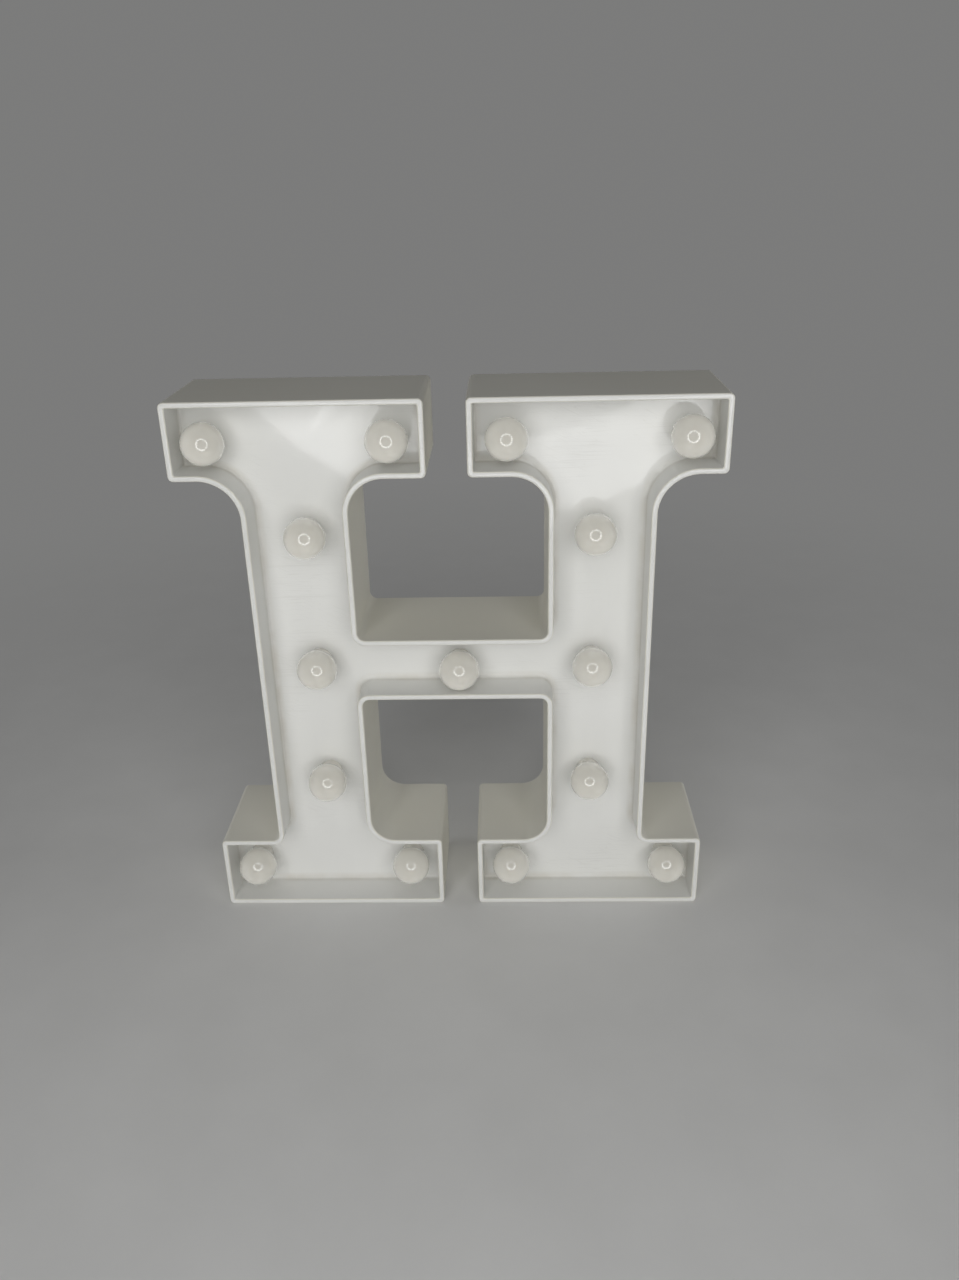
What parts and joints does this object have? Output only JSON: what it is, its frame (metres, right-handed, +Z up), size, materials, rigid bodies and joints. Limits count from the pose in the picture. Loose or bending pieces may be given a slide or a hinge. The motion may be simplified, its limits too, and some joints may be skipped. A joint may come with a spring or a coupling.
{
  "type": "light-up letter",
  "caption": "Free-standing slab-serif letter H lamp: white tray shell with frosted globe bulbs, rear cover with battery door and slide switch.",
  "frame": {"origin": "centre of the part's footprint, on the surface that the letter stands on", "axes": "+Z up, -Y towards the viewer in front of the letter, +X to that viewer's right"},
  "size_m": [0.204, 0.048, 0.22],
  "materials": {
    "shell_white": "semi-gloss white moulded plastic",
    "cover_white": "fine-textured white moulded plastic",
    "bulb_milk": "glossy milky translucent plastic",
    "led_clear": "clear epoxy, warm white",
    "hot_glue": "hot-melt adhesive",
    "wire_red": "red PVC insulation",
    "wire_black": "black PVC insulation",
    "resistor_tan": "lacquered film resistor",
    "cell_jacket": "plain dark film over a steel can",
    "contact_nickel": "nickel-plated spring steel",
    "screw_zinc": "zinc-plated steel",
    "switch_metal": "plated sheet steel",
    "knob_black": "black moulded plastic"
  },
  "bodies": {
    "letter": {"bulb_01": "bulb_milk", "bulb_02": "bulb_milk", "bulb_03": "bulb_milk", "bulb_04": "bulb_milk", "bulb_05": "bulb_milk", "bulb_06": "bulb_milk", "bulb_07": "bulb_milk", "bulb_08": "bulb_milk", "bulb_09": "bulb_milk", "bulb_10": "bulb_milk", "bulb_11": "bulb_milk", "bulb_12": "bulb_milk", "bulb_13": "bulb_milk", "bulb_14": "bulb_milk", "bulb_15": "bulb_milk", "cell_left": "cell_jacket", "cell_right": "cell_jacket", "contact_bridge": "contact_nickel", "contact_negative": "contact_nickel", "contact_positive": "contact_nickel", "contact_springs": "contact_nickel", "cover_screws": "screw_zinc", "front_shell": "shell_white", "led_01": "led_clear", "led_02": "led_clear", "led_03": "led_clear", "led_04": "led_clear", "led_05": "led_clear", "led_06": "led_clear", "led_07": "led_clear", "led_08": "led_clear", "led_09": "led_clear", "led_10": "led_clear", "led_11": "led_clear", "led_12": "led_clear", "led_13": "led_clear", "led_14": "led_clear", "led_15": "led_clear", "led_glue_beads": "hot_glue", "rear_cover": "cover_white", "resistor": "resistor_tan", "return_wires": "wire_black", "supply_wires": "wire_red", "switch_can": "switch_metal", "switch_lead": "wire_red", "switch_screws": "screw_zinc", "switch_terminals": "contact_nickel"},
    "door": {"battery_door": "cover_white"},
    "slider": {"switch_slider": "knob_black"}
  },
  "joints": [
    {"name": "battery_door_hinge", "type": "hinge", "parent": "letter", "child": "door", "pos_m": [0.057, 0.024, 0.069], "axis": [-1, 0, 0], "range_deg": [0, 80]},
    {"name": "switch_slide", "type": "slide", "parent": "letter", "child": "slider", "axis": [0, 0, 1], "range_m": [0, 0.004]}
  ]
}
